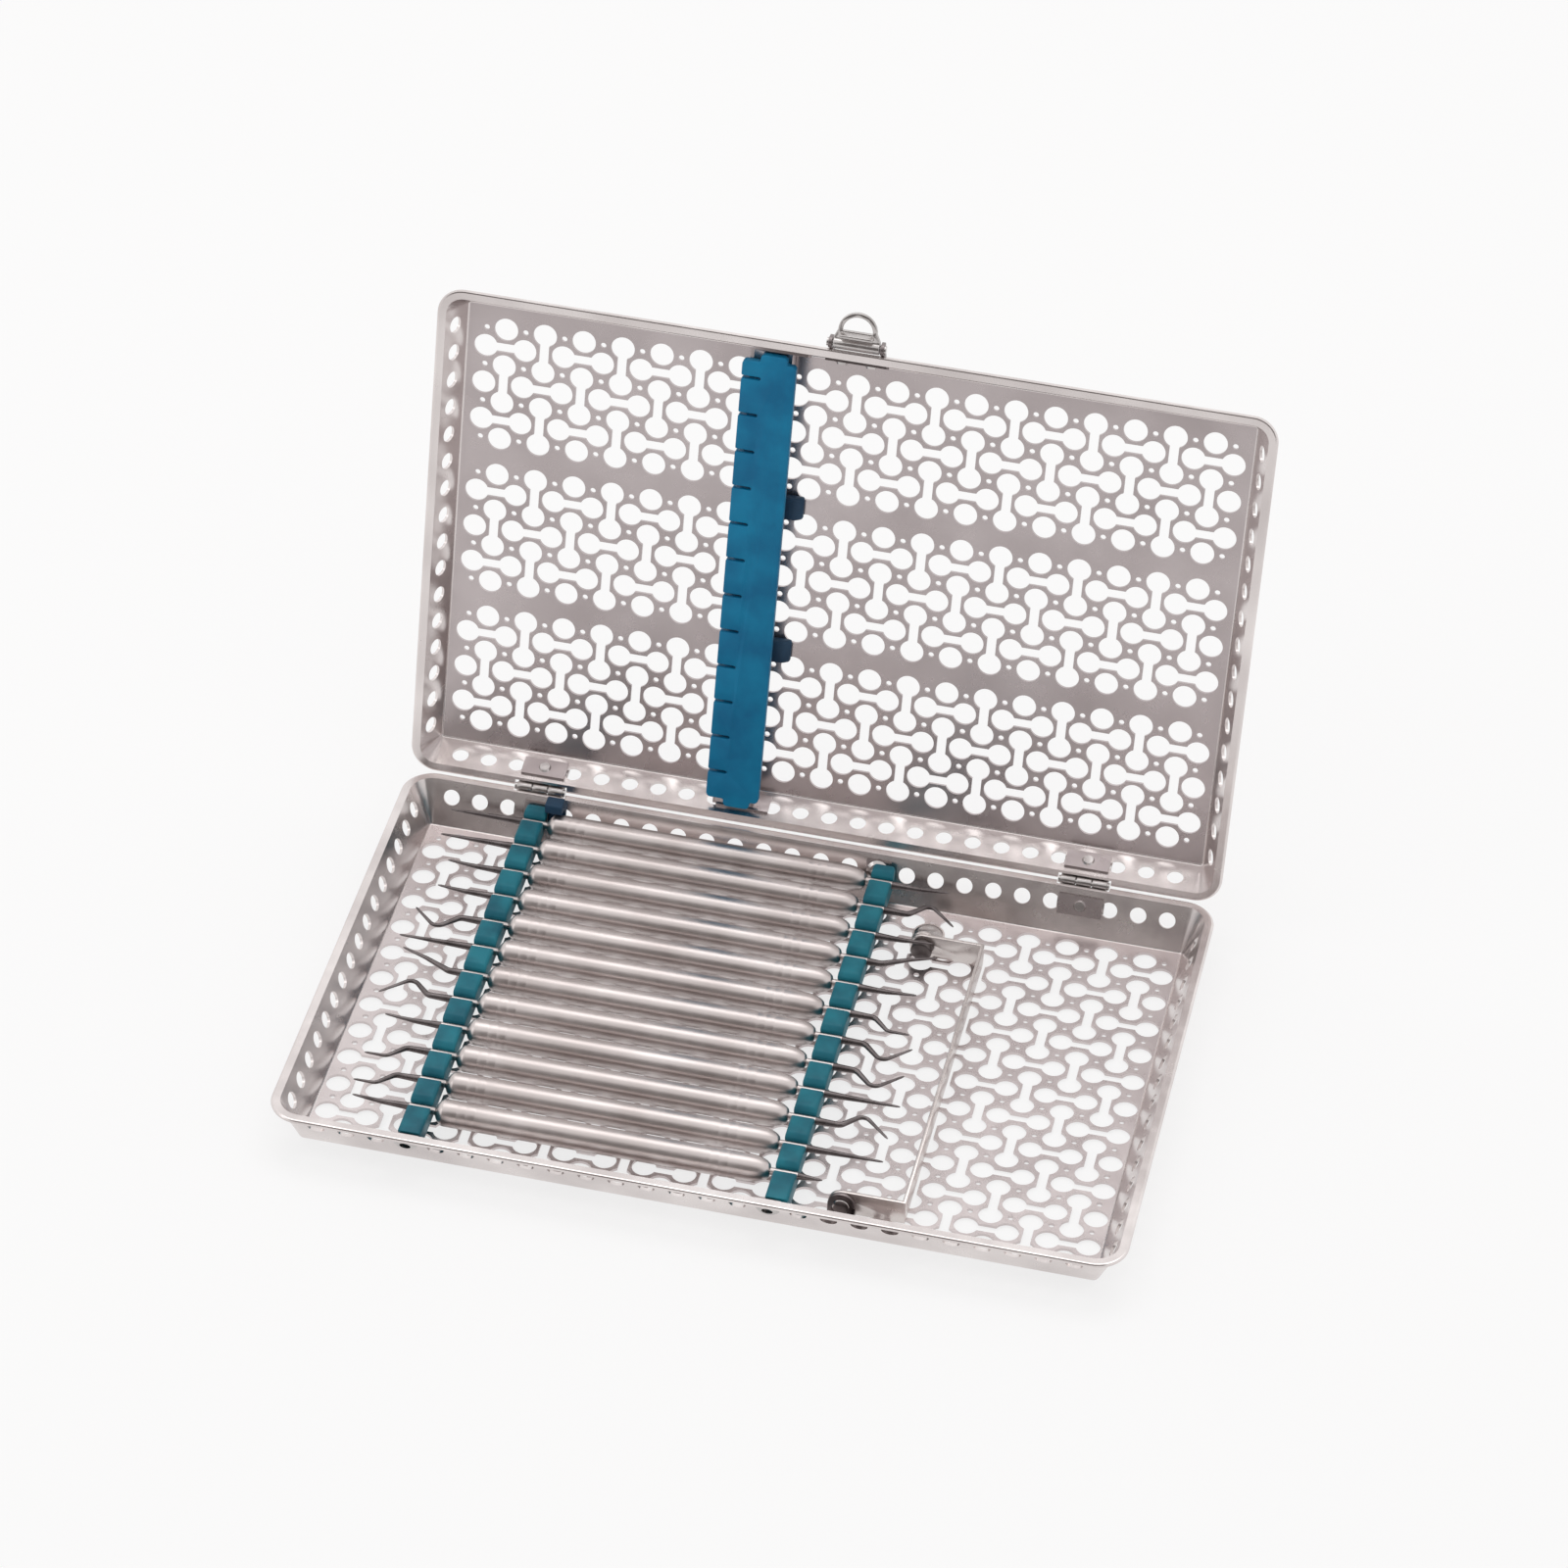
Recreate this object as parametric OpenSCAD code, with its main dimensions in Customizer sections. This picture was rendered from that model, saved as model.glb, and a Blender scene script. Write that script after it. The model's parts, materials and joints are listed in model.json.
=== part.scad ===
/* [Tray] */
// Length over the rims, side to side
length_x = 280; // [272:1:330]
// Depth over the rims, front to back
depth_y = 178; // [162:1:230]
// Height of the base, underside to rim
base_depth = 16; // [15.4:0.1:20]
// Height of the lid, rim to outer face
lid_depth = 12; // [12:0.1:18]
// Thickness of the steel sheet
sheet_t = 1; // [0.8:0.1:1.1]
// Lean of the walls away from upright, in degrees
wall_lean = 24; // [22:1:26]
// Width of the rolled lip round each rim
lip_w = 2; // [1.6:0.1:2.4]
// Thickness of the rolled lip
lip_t = 1.6; // [1.2:0.1:1.6]
// Outer radius of the bend between floor and wall
bend_r = 1.6; // [1.4:0.1:1.6]
// Corner radius of the floor
corner_r = 1.6; // [1.5:0.1:4]
// How far the lid stands open, in degrees
open_angle = 103; // [60:1:103]

/* [Perforation] */
// Distance from one hole to the next along a row
cell = 6.6; // [6.5:0.05:6.9]
// Diameter of the round holes
hole_d = 8; // [6.6:0.1:8]
// Diameter of the small drain holes between them
dot_d = 1.9; // [1:0.1:2]
// Width of the necks that join two round holes
neck_w = 3.2; // [1.6:0.1:3.6]
// Plain row of the lid, counted from its middle row
band_row = 4; // [4:2:6]
// Diameter of the holes in the walls
wall_hole_d = 5.6; // [5:0.1:5.8]
// Distance between two holes in a wall
wall_hole_pitch = 9.9; // [9.6:0.1:10.4]
// Height of the wall holes above the underside of the base
base_hole_z = 10.2; // [9.8:0.1:10.4]
// Depth of the wall holes below the outer face of the lid
lid_hole_z = 6.6; // [6.2:0.1:6.8]

/* [Instrument rack] */
// Distance from the front rim to the first instrument
rack_front = 21; // [21:0.1:24]
// Distance from the back rim to the last instrument
rack_back = 11.8; // [11.8:0.1:14]
// Height of the instruments' axes above the underside
axis_z = 11; // [10.4:0.1:11]
// Place of the left rail
rail_left_x = -93.4; // [-96:0.1:-92]
// Place of the right rail
rail_right_x = 27.1; // [26:0.1:30]
// Width of a silicone rail
rail_w = 7.6; // [6:0.1:8]
// Height of the rail tops above the underside
rail_top_z = 14.4; // [13.8:0.1:14.8]
// Thickness of the steel blade inside a rail
blade_t = 1.2; // [0.8:0.1:1.4]
// Left end of the handles
handle_left_x = -88.4; // [-88.4:0.1:-86]
// Right end of the handles
handle_right_x = 22; // [16:0.5:22]
// Diameter of the handles
handle_d = 9; // [7:0.1:9]
// Diameter of the shanks that lie in the rails
shank_d = 2.6; // [2.2:0.1:2.8]
// Diameter of the working ends at their points
tip_d = 1.1; // [0.9:0.1:1.4]

/* [Hold-down strip] */
// Place of the strip across the lid
strip_x = -28; // [-29:0.5:-26]
// Width of the silicone strip
strip_w = 18; // [17:0.5:22]
// Thickness of the silicone strip
strip_t = 3.2; // [2.6:0.1:3.2]
// Free space left between the strip and the handles when closed
strip_clearance = 0.4; // [0.3:0.1:0.6]
// Width of the steel channel behind the strip
channel_w = 14; // [14:0.5:16]
// Depth of the slits along one edge of the strip
slit_depth = 6.5; // [4:0.5:8]

/* [Hinge] */
// Length of one hinge
hinge_w = 16; // [12:0.5:20]
// Radius of a knuckle
knuckle_r = 1.7; // [1.5:0.1:1.8]
// Radius of the hinge pin
hinge_pin_r = 0.8; // [0.6:0.1:0.9]

/* [Latch] */
// Width of the finger loop
latch_w = 13; // [12.8:0.1:16]
// Reach of the lever beyond its pin
latch_reach = 11.6; // [11.5:0.1:14]
// Radius of the latch pin
latch_pin_r = 0.9; // [0.8:0.1:1]

/* [Accessory retainer] */
// Column of floor holes in line with the retainer's pivots
retainer_col = 7; // [7:2:9]
// Reach from the pivots to the middle of the long bar
retainer_reach = 20; // [17:0.1:20]
// Distance from the front rim to the front arm
retainer_front = 18.5; // [18:0.1:20]
// Distance from the back arm to the riveted pad behind it
retainer_pad_step = 10; // [10:0.1:12]
// Height of the strip that the retainer is bent from
retainer_h = 9; // [7:0.1:9]
// Thickness of that strip
retainer_t = 1.2; // [0.8:0.1:1.4]
// Radius of the pivot rivets
retainer_rivet_r = 1.8; // [1.4:0.1:2]

/* [Hidden] */
$fn = 40;

steel = [0.80, 0.77, 0.77];
bright_steel = [0.88, 0.87, 0.87];
teal = [0.05, 0.38, 0.45];
deep_blue = [0.02, 0.28, 0.50];
navy = [0.03, 0.10, 0.22];

// Free gap between parts that must not touch, and between a pin and its bore
gap = 0.3;
run_fit = 0.05;
rim_gap = 0.4;

// Flat edge of a wall ring beside the floor panel
lap = 1.1;

rim_x = length_x / 2;
rim_y = depth_y / 2;
lean_tan = tan(wall_lean);
lean_cos = cos(wall_lean);

// Half sizes where floor and wall planes meet
base_crease_x = rim_x - lip_w - base_depth * lean_tan;
base_crease_y = rim_y - lip_w - base_depth * lean_tan;
lid_crease_x = rim_x - lip_w - lid_depth * lean_tan;
lid_crease_y = rim_y - lip_w - lid_depth * lean_tan;

// The lid is drawn closed, with its outer face on lid_top_z, and then turned about the hinge
lid_rim_z = base_depth + rim_gap;
lid_top_z = lid_rim_z + lid_depth;
lid_inner_z = lid_top_z - sheet_t;
hinge_y = rim_y;
hinge_z = base_depth + rim_gap / 2;

// Distance from the middle to a face of a leaning wall, z away from the tray's outer face
function outer_reach(crease, z) = crease + z * lean_tan;
function inner_reach(crease, z) = crease + z * lean_tan - sheet_t / lean_cos;

// Points of an arc, from angle a0 to a1 in n steps
function arc(cx, cy, r, a0, a1, n) =
    [for (i = [0:n]) let (a = a0 + (a1 - a0) * i / n) [cx + r * cos(a), cy + r * sin(a)]];

function joined(lists) = [for (l = lists) each l];

// Wall holes: the long walls of base and lid share one row, so that rivets meet a hole in both
function hole_steps(span) = floor((span - wall_hole_d) / wall_hole_pitch);
long_steps = hole_steps(2 * (min(base_crease_x, lid_crease_x) - corner_r));
short_steps = hole_steps(2 * (min(base_crease_y, lid_crease_y) - corner_r));
function nearest_hole(x) = (round(x / wall_hole_pitch + long_steps / 2) - long_steps / 2) * wall_hole_pitch;

// Cross-section of floor bend, leaning wall and rolled lip; x runs outwards from the crease
function wall_profile(h) =
    let (
        turn = 90 - wall_lean,
        tangent = bend_r * tan(turn / 2),
        wall_top = h * lean_tan,
        lip_end = wall_top + lip_w,
        sheet_x = sheet_t / lean_cos
    )
    concat(
        [[-lap, 0]],
        arc(-tangent, bend_r, bend_r, -90, turn - 90, 4),
        [[(h - lip_t) * lean_tan, h - lip_t]],
        arc(lip_end - lip_t / 2, h - lip_t / 2, lip_t / 2, -90, 90, 6),
        [[wall_top - sheet_x, h]],
        [[(h - lip_t) * lean_tan - sheet_x, h - lip_t]],
        arc(-tangent, bend_r, bend_r - sheet_t, turn - 90, -90, 4),
        [[-lap, sheet_t]]
    );

module wall_run(reach, run_length, h) {
    translate([reach, 0, 0])
        rotate([90, 0, 0])
            linear_extrude(run_length, center = true)
                polygon(wall_profile(h));
}

module wall_corner(h) {
    rotate_extrude(angle = 90)
        translate([corner_r, 0])
            polygon(wall_profile(h));
}

// A row of wall holes, each drilled square to the leaning sheet
module wall_drills(reach, steps, z) {
    for (i = [0:steps])
        translate([outer_reach(reach, z), (i - steps / 2) * wall_hole_pitch, z])
            rotate([0, 90 + wall_lean, 0])
                cylinder(d = wall_hole_d, h = 6 * sheet_t, center = true);
}

// Ring of four leaning walls with rounded corners
module wall_ring(crease_x, crease_y, h, hole_z) {
    turn_x = crease_x - corner_r;
    turn_y = crease_y - corner_r;
    difference() {
        union() {
            for (side = [0, 180]) {
                rotate([0, 0, side]) wall_run(crease_x, 2 * turn_y, h);
                rotate([0, 0, side + 90]) wall_run(crease_y, 2 * turn_x, h);
            }
            translate([turn_x, turn_y, 0]) wall_corner(h);
            translate([-turn_x, turn_y, 0]) rotate([0, 0, 90]) wall_corner(h);
            translate([-turn_x, -turn_y, 0]) rotate([0, 0, 180]) wall_corner(h);
            translate([turn_x, -turn_y, 0]) rotate([0, 0, 270]) wall_corner(h);
        }
        for (side = [0, 180]) {
            rotate([0, 0, side]) wall_drills(crease_x, short_steps, hole_z);
            rotate([0, 0, side + 90]) wall_drills(crease_y, long_steps, hole_z);
        }
    }
}

// Round holes joined in pairs, lengthwise and crosswise by turns, with a drain hole in each cross
module perforation(cols, rows, plain_row) {
    for (c = [-cols:cols]) for (r = [-rows:rows])
        if (abs(r) != plain_row)
            translate([c * cell, r * cell]) {
                if ((c + r) % 2 != 0)
                    circle(d = hole_d);
                else if (c % 2 != 0)
                    circle(d = dot_d);
                else if ((c + r) / 2 % 2 == 0 && abs(c) < cols)
                    square([2 * cell, neck_w], center = true);
                else if ((c + r) / 2 % 2 != 0 && abs(r) < rows)
                    square([neck_w, 2 * cell], center = true);
            }
}

module rounded_slab(half_x, half_y, r) {
    square([2 * half_x, 2 * (half_y - r)], center = true);
    square([2 * (half_x - r), 2 * half_y], center = true);
    for (sx = [-1, 1]) for (sy = [-1, 1])
        translate([sx * (half_x - r), sy * (half_y - r)]) circle(r = r);
}

// Rows or columns of holes on each side of the middle of a panel
function hole_count(crease) = floor((crease - lap - hole_d / 2 - gap) / cell);

module floor_panel(crease_x, crease_y, plain_row) {
    linear_extrude(sheet_t)
        difference() {
            rounded_slab(crease_x - lap, crease_y - lap, corner_r - lap);
            perforation(hole_count(crease_x), hole_count(crease_y), plain_row);
        }
}

// Carries a piece drawn on the closed lid to where the lid stands open
module on_lid() {
    translate([0, hinge_y, hinge_z])
        rotate([-open_angle, 0, 0])
            translate([0, -hinge_y, -hinge_z])
                children();
}

// Carries a piece drawn with its outer face on z = 0 onto the closed lid
module lid_side_up() {
    translate([0, 0, lid_top_z]) mirror([0, 0, 1]) children();
}

// Puts a piece on a long wall: x along it, y up its slope, z = 0 on its inner face and z into the tray
module on_wall(x, crease_y, z, side) {
    mirror([0, side < 0 ? 1 : 0, 0])
        translate([x, outer_reach(crease_y, z), z])
            rotate([90 - wall_lean, 0, 0])
                translate([0, 0, sheet_t])
                    children();
}

// Plate on the inner face of a wall, bored for a rivet
module wall_plate(w, h, t, bore_r) {
    difference() {
        translate([0, 0, t / 2]) cube([w, h, t], center = true);
        cylinder(r = bore_r, h = 4 * t, center = true);
    }
}

rivet_r = 1.4;
rivet_head_t = 0.7;
rivet_head_r = rivet_r + 0.7;

// Solid rivet; its shank runs from -outer to inner, measured from the wall's inner face
module rivet(inner, outer, outer_head_r) {
    translate([0, 0, -outer]) cylinder(r = rivet_r, h = inner + outer);
    translate([0, 0, inner]) cylinder(r1 = rivet_head_r, r2 = rivet_r + 0.3, h = rivet_head_t);
    translate([0, 0, -outer - rivet_head_t]) cylinder(r = outer_head_r, h = rivet_head_t);
}

eyelet_r = wall_hole_d / 2 - run_fit;
eyelet_bore_r = eyelet_r - 0.9;
eyelet_head_r = eyelet_r + 1.1;
eyelet_head_t = 0.7;

// Hollow rivet that fills a wall hole
module eyelet(inner, outer) {
    difference() {
        union() {
            translate([0, 0, -outer]) cylinder(r = eyelet_r, h = inner + outer);
            translate([0, 0, inner]) cylinder(r1 = eyelet_head_r, r2 = eyelet_r, h = eyelet_head_t);
            translate([0, 0, -outer - eyelet_head_t]) cylinder(r1 = eyelet_r, r2 = eyelet_head_r, h = eyelet_head_t);
        }
        cylinder(r = eyelet_bore_r, h = 10, center = true);
    }
}

// Trays
module base_floor() {
    color(steel) floor_panel(base_crease_x, base_crease_y, -1);
}

// Notches in the back lip, so that knuckles and pin heads sit level with the rims
pin_head_t = 0.7;
notch_w = hinge_w + 2 * (pin_head_t + gap);

module hinge_notches(depth) {
    for (side = [-1, 1])
        translate([side * hinge_x - notch_w / 2, rim_y - lip_w - 0.2, depth - lip_t - 0.5])
            cube([notch_w, lip_w + 1, lip_t + 1]);
}

module base_walls() {
    color(steel)
        difference() {
            wall_ring(base_crease_x, base_crease_y, base_depth, base_hole_z);
            hinge_notches(base_depth);
        }
}

module lid_panel() {
    color(steel) on_lid() lid_side_up() floor_panel(lid_crease_x, lid_crease_y, band_row);
}

module lid_walls() {
    color(steel)
        on_lid()
            lid_side_up()
                difference() {
                    wall_ring(lid_crease_x, lid_crease_y, lid_depth, lid_hole_z);
                    hinge_notches(lid_depth);
                }
}

// Hinges: the leaf lies on the wall, passes under the lip and rises into the knuckles
hinge_x = -nearest_hole(rail_left_x);
leaf_t = 1;
leaf_foot = 6;
knuckle_w = (hinge_w - 2 * gap) / 3;
slot_r = knuckle_r + gap;

// The knuckles stop just short of the leaf's edges
knuckle_inset = 0.1;

module leaf_profile(depth, crease_y) {
    step_high = depth + rim_gap / 2 - slot_r - 0.1;
    step_low = step_high - leaf_t;
    foot_z = step_low - leaf_foot;
    leaf_depth = leaf_t / lean_cos;
    polygon([
        [outer_reach(crease_y, foot_z), foot_z],
        [outer_reach(crease_y, foot_z) + leaf_depth, foot_z],
        [outer_reach(crease_y, step_low) + leaf_depth, step_low],
        [hinge_y + leaf_t / 2, step_low],
        [hinge_y + leaf_t / 2, depth + rim_gap / 2],
        [hinge_y - leaf_t / 2, depth + rim_gap / 2],
        [hinge_y - leaf_t / 2, step_high],
        [outer_reach(crease_y, step_high), step_high]
    ]);
}

module hinge_drum(place, depth, r, w) {
    translate([place * (knuckle_w + gap), hinge_y, depth + rim_gap / 2])
        rotate([0, 90, 0])
            cylinder(r = r, h = w, center = true);
}

// Knuckles stand at the places listed; slots clear the other leaf's knuckles
module hinge_leaf(depth, crease_y, hole_z, knuckle_places, slot_places) {
    difference() {
        union() {
            difference() {
                rotate([90, 0, 90])
                    linear_extrude(hinge_w, center = true)
                        leaf_profile(depth, crease_y);
                for (place = slot_places) hinge_drum(place, depth, slot_r, knuckle_w + 2 * gap);
            }
            for (place = knuckle_places)
                hinge_drum(place, depth, knuckle_r, knuckle_w - 2 * knuckle_inset);
        }
        hinge_drum(0, depth, hinge_pin_r + run_fit, 2 * hinge_w);
        on_wall(0, crease_y, hole_z, 1) cylinder(r = rivet_r + run_fit, h = 12, center = true);
    }
}

module base_hinge(side) {
    color(bright_steel)
        translate([side * hinge_x, 0, 0])
            hinge_leaf(base_depth, base_crease_y, base_hole_z, [-1, 1], [0]);
}

module lid_hinge(side) {
    color(bright_steel)
        on_lid()
            lid_side_up()
                translate([side * hinge_x, 0, 0])
                    hinge_leaf(lid_depth, lid_crease_y, lid_hole_z, [0], [-1, 1]);
}

module hinge_pin(side) {
    color(bright_steel)
        translate([side * hinge_x, hinge_y, hinge_z])
            rotate([0, 90, 0]) {
                cylinder(r = hinge_pin_r, h = hinge_w, center = true);
                for (end = [-1, 1])
                    translate([0, 0, end * (hinge_w + pin_head_t) / 2])
                        cylinder(r = hinge_pin_r + 0.5, h = pin_head_t, center = true);
            }
}

// Plates inside the walls that the hinge rivets draw against
backing_w = 15;
backing_h = 7;
backing_t = 0.8;

module base_hinge_backing() {
    color(steel)
        on_wall(hinge_x, base_crease_y, base_hole_z, 1)
            wall_plate(backing_w, backing_h, backing_t, rivet_r + run_fit);
}

module lid_hinge_backing() {
    color(steel)
        on_lid()
            lid_side_up()
                for (side = [-1, 1])
                    on_wall(side * hinge_x, lid_crease_y, lid_hole_z, 1)
                        wall_plate(backing_w, backing_h, backing_t, rivet_r + run_fit);
}

// Rails: a steel blade from wall to wall carries a notched silicone rail
flange_w = 8.2;
flange_h = 7.4;
flange_t = 1;
flange_drop = 1.8;
blade_low_z = sheet_t + gap;
blade_top_z = axis_z - 2.6;
blade_end_z = axis_z - 4;
flange_depth = flange_t / lean_cos;

// End flange of a blade; it reaches further down than up, to where the blade's end meets it
module carrier_flange(w, bore_r) {
    difference() {
        translate([0, -flange_drop / 2, flange_t / 2])
            cube([w, flange_h + flange_drop, flange_t], center = true);
        cylinder(r = bore_r, h = 4 * flange_t, center = true);
    }
}

// A flange is centred on its wall hole and is wide enough to take the blade beside it
function flange_width(x) = max(flange_w, 2 * abs(nearest_hole(x) - x) + blade_t + 1);

module rail_carrier(x, back_bore_r) {
    hole_x = nearest_hole(x);
    low_reach = inner_reach(base_crease_y, blade_low_z) - flange_depth / 2 - bend_r;
    bend_reach = inner_reach(base_crease_y, blade_low_z + bend_r) - flange_depth / 2;
    end_reach = inner_reach(base_crease_y, blade_end_z) - flange_depth / 2;
    color(steel) {
        translate([x, 0, 0])
            rotate([90, 0, 90])
                linear_extrude(blade_t, center = true)
                    for (end = [0, 1])
                        mirror([end, 0])
                            polygon([
                                [-0.1, blade_low_z],
                                [low_reach, blade_low_z],
                                [bend_reach, blade_low_z + bend_r],
                                [end_reach, blade_end_z],
                                [end_reach - 1.4, blade_end_z],
                                [end_reach - 3, blade_top_z],
                                [-0.1, blade_top_z]
                            ]);
        on_wall(hole_x, base_crease_y, base_hole_z, -1) carrier_flange(flange_width(x), eyelet_r + run_fit);
        on_wall(hole_x, base_crease_y, base_hole_z, 1) carrier_flange(flange_width(x), back_bore_r + run_fit);
    }
}

// The left rail's back flange is also the left hinge's backing plate
module rail_carrier_left() {
    rail_carrier(rail_left_x, rivet_r);
}

module rail_carrier_right() {
    rail_carrier(rail_right_x, eyelet_r);
}

module rail_eyelets() {
    color(bright_steel) {
        on_wall(nearest_hole(rail_left_x), base_crease_y, base_hole_z, -1) eyelet(flange_t, sheet_t);
        on_wall(nearest_hole(rail_right_x), base_crease_y, base_hole_z, -1) eyelet(flange_t, sheet_t);
        on_wall(nearest_hole(rail_right_x), base_crease_y, base_hole_z, 1) eyelet(flange_t, sheet_t);
    }
}

module base_hinge_rivets() {
    color(bright_steel) {
        on_wall(-hinge_x, base_crease_y, base_hole_z, 1) rivet(flange_t, sheet_t + leaf_t, rivet_head_r);
        on_wall(hinge_x, base_crease_y, base_hole_z, 1) rivet(backing_t, sheet_t + leaf_t, rivet_head_r);
    }
}

// The instruments share the depth between the first and the last evenly
instrument_pitch = (depth_y - rack_front - rack_back) / 11;
function rack_place(k) = rack_front - rim_y + (k - 1) * instrument_pitch;

notch_r = shank_d / 2 + run_fit;
notch_z = axis_z + run_fit;
throat_w = shank_d - 0.4;
mouth_w = shank_d + 3;
mouth_d = 1.6;
rail_low_z = axis_z - 5.6;
rail_wall_gap = flange_depth + eyelet_head_t / lean_cos + gap;

// Keyhole notch for one shank: round seat, narrow throat and flared mouth
module rail_notch() {
    translate([0, notch_z]) circle(r = notch_r);
    translate([-throat_w / 2, notch_z]) square([throat_w, rail_top_z - notch_z + 1]);
    polygon([
        [-throat_w / 2, rail_top_z - mouth_d],
        [throat_w / 2, rail_top_z - mouth_d],
        [mouth_w / 2, rail_top_z + 0.1],
        [-mouth_w / 2, rail_top_z + 0.1]
    ]);
}

module rail(x) {
    low_reach = inner_reach(base_crease_y, rail_low_z) - rail_wall_gap;
    top_reach = inner_reach(base_crease_y, rail_top_z) - rail_wall_gap;
    shoulder_r = 1.2;
    color(teal)
        difference() {
            intersection() {
                translate([x, 0, 0])
                    rotate([90, 0, 90])
                        linear_extrude(rail_w + 1, center = true)
                            difference() {
                                polygon([
                                    [low_reach, rail_low_z],
                                    [top_reach, rail_top_z],
                                    [-top_reach, rail_top_z],
                                    [-low_reach, rail_low_z]
                                ]);
                                for (k = [1:12]) translate([rack_place(k), 0]) rail_notch();
                            }
                // Cross-section with a narrower foot and rounded shoulders
                translate([x, 0, 0])
                    rotate([90, 0, 0])
                        linear_extrude(depth_y, center = true)
                            polygon(concat(
                                [[1 - rail_w / 2, rail_low_z - 0.1], [rail_w / 2 - 1, rail_low_z - 0.1]],
                                [[rail_w / 2, rail_low_z + 2]],
                                arc(rail_w / 2 - shoulder_r, rail_top_z - shoulder_r, shoulder_r, 0, 90, 4),
                                arc(shoulder_r - rail_w / 2, rail_top_z - shoulder_r, shoulder_r, 90, 180, 4),
                                [[-rail_w / 2, rail_low_z + 2]]
                            ));
            }
            translate([x - blade_t / 2 - run_fit, -rim_y, rail_low_z - 1])
                cube([blade_t + 2 * run_fit, depth_y, blade_top_z - rail_low_z + 1]);
        }
}

// Soft tab at the back end of the left rail; it runs up the wall and folds over the last handle
tab_w = 6;
tab_t = 1.2;

module rail_pull_tab() {
    tab_left = max(rail_left_x + rail_w / 2, nearest_hole(rail_left_x) + flange_width(rail_left_x) / 2 + gap);
    low_z = base_hole_z - 2;
    fold_y = rack_place(12) + 5;
    color(navy)
        translate([tab_left + tab_w / 2, 0, 0])
            rotate([90, 0, 90])
                linear_extrude(tab_w, center = true)
                    polygon([
                        [inner_reach(base_crease_y, low_z), low_z],
                        [inner_reach(base_crease_y, base_depth - 1), base_depth - 1],
                        [fold_y, base_depth + 1.2],
                        [fold_y, base_depth + 4],
                        [fold_y - 5, base_depth + 4],
                        [fold_y - 5, base_depth + 0.4],
                        [fold_y - 0.6, base_depth - 0.2],
                        [inner_reach(base_crease_y, base_depth - 3.5) - tab_t, base_depth - 3.5],
                        [inner_reach(base_crease_y, low_z) - tab_t, low_z]
                    ]);
}

// Accessory retainer: a bail of upright strip that swings up on two pivots
pivot_x = retainer_col * cell;
pivot_z = sheet_t + 0.4 + retainer_h / 2;

// The pad sits in the last round hole but one of the pivots' column
floor_rows = hole_count(base_crease_y);
pad_row = floor_rows - 1 - (floor_rows + retainer_col) % 2;
pad_y = pad_row * cell;
retainer_back_y = pad_y - retainer_pad_step;
retainer_front_y = retainer_front - rim_y;
bar_x = pivot_x + retainer_reach;
ear_t = 1.2;
ear_gap = 0.1;
eye_r = retainer_h / 2;
ear_step = retainer_t / 2 + ear_gap + ear_t / 2;
front_ear_y = retainer_front_y - ear_step;
back_ear_y = retainer_back_y + ear_step;

// Upright plate with a round, bored end about the pivot and a square part from corner over span
module pivot_plate(y, t, corner, span) {
    translate([0, y, 0])
        rotate([90, 0, 0])
            linear_extrude(t, center = true)
                difference() {
                    union() {
                        translate([pivot_x, pivot_z]) circle(r = eye_r);
                        translate(corner) square(span);
                    }
                    translate([pivot_x, pivot_z]) circle(r = retainer_rivet_r + run_fit);
                }
}

module retainer_ear(y) {
    pivot_plate(y, ear_t, [pivot_x - eye_r, sheet_t], [2 * eye_r, pivot_z - sheet_t]);
}

module retainer_bail() {
    low_z = pivot_z - eye_r;
    color(steel) {
        for (y = [retainer_front_y, retainer_back_y])
            pivot_plate(y, retainer_t, [pivot_x, low_z], [retainer_reach + retainer_t / 2, retainer_h]);
        translate([bar_x - retainer_t / 2, retainer_front_y, low_z])
            cube([retainer_t, retainer_back_y - retainer_front_y, retainer_h]);
    }
}

// Front bracket: an ear, a foot on the floor, and a plate behind three of the front wall's holes
bracket_plate_h = 6.6;

module retainer_bracket_front() {
    plate_x = nearest_hole(pivot_x) + wall_hole_pitch;
    foot_top = sheet_t + ear_t;
    color(steel) {
        retainer_ear(front_ear_y);
        translate([pivot_x, 0, 0])
            rotate([90, 0, 90])
                linear_extrude(2 * eye_r, center = true)
                    polygon([
                        [front_ear_y, sheet_t],
                        [bend_r / 2 - inner_reach(base_crease_y, sheet_t), sheet_t],
                        [-inner_reach(base_crease_y, sheet_t + bend_r / 2), sheet_t + bend_r / 2],
                        [-inner_reach(base_crease_y, base_hole_z), base_hole_z],
                        [1.1 - inner_reach(base_crease_y, base_hole_z), base_hole_z],
                        [1.1 - inner_reach(base_crease_y, foot_top), foot_top],
                        [front_ear_y, foot_top]
                    ]);
        on_wall(plate_x, base_crease_y, base_hole_z, -1)
            translate([0, 0, 0.5])
                cube([3 * wall_hole_pitch - 0.5, bracket_plate_h, 1], center = true);
    }
}

// Back bracket: an ear and a round pad riveted into one of the floor's holes
pad_r = 5.4;
floor_rivet_r = hole_d / 2 - run_fit;

module retainer_bracket_back() {
    color(steel) {
        retainer_ear(back_ear_y);
        translate([0, 0, sheet_t])
            linear_extrude(ear_t)
                difference() {
                    union() {
                        translate([pivot_x - eye_r, back_ear_y]) square([2 * eye_r, pad_y - back_ear_y]);
                        translate([pivot_x, pad_y]) circle(r = pad_r);
                    }
                    translate([pivot_x, pad_y]) circle(r = floor_rivet_r + run_fit);
                }
    }
}

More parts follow.
